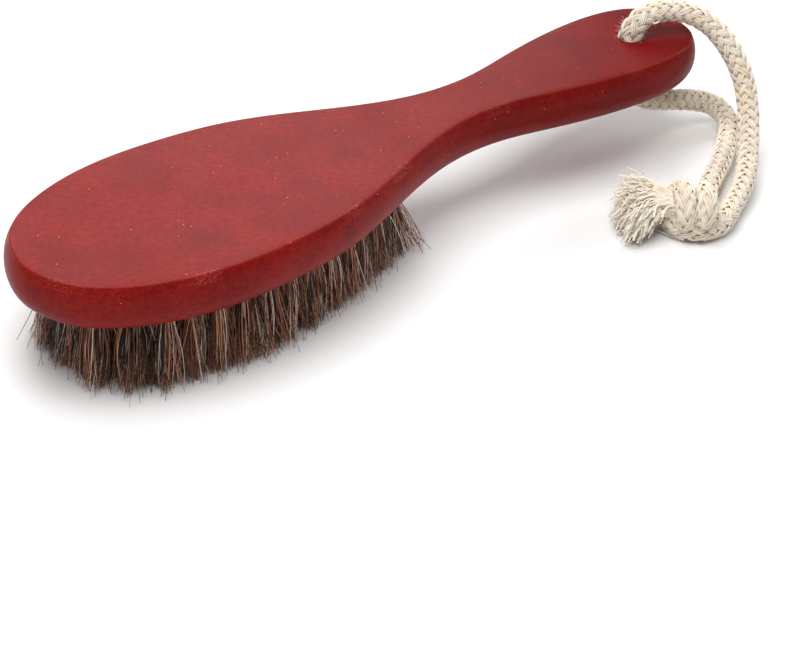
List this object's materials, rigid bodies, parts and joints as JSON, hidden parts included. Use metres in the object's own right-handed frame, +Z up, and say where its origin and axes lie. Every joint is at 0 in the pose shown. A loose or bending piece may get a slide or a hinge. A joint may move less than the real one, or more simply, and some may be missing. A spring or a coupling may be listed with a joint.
{
  "type": "clothes brush",
  "caption": "One-piece lacquered wooden paddle brush with an oval head of dark hair tufts, a narrow neck, a bulged handle and a knotted braided cotton hanging loop.",
  "frame": {"origin": "on the plane of the hair tips, below the middle of the wooden body's length and width", "axes": "+X along the brush from the head to the handle's end, +Z up through the flat back of the head"},
  "size_m": [0.2167, 0.0793, 0.0399],
  "materials": {
    "lacquered_wood": "mahogany-red stain under a satin clear lacquer",
    "dark_hair": "coarse dark horsehair with brown, tan and grey hairs mixed in",
    "cotton_braid": "natural unbleached cotton braid"
  },
  "bodies": {
    "brush": {"wooden_body": "lacquered_wood", "tuft_row_01": "dark_hair", "tuft_row_02": "dark_hair", "tuft_row_03": "dark_hair", "tuft_row_04": "dark_hair", "tuft_row_05": "dark_hair", "tuft_row_06": "dark_hair", "tuft_row_07": "dark_hair", "tuft_row_08": "dark_hair", "tuft_row_09": "dark_hair", "tuft_row_10": "dark_hair", "tuft_row_11": "dark_hair", "tuft_row_12": "dark_hair", "tuft_row_13": "dark_hair", "tuft_row_14": "dark_hair"},
    "cord_loop": {"hanging_cord": "cotton_braid", "cord_knot": "cotton_braid", "frayed_end_1": "cotton_braid", "frayed_end_2": "cotton_braid"}
  },
  "joints": [
    {"name": "loop_swivel", "type": "hinge", "parent": "brush", "child": "cord_loop", "pos_m": [0.0838, 0, 0.025], "axis": [0, 0, 1], "range_deg": [-75, 140]}
  ]
}
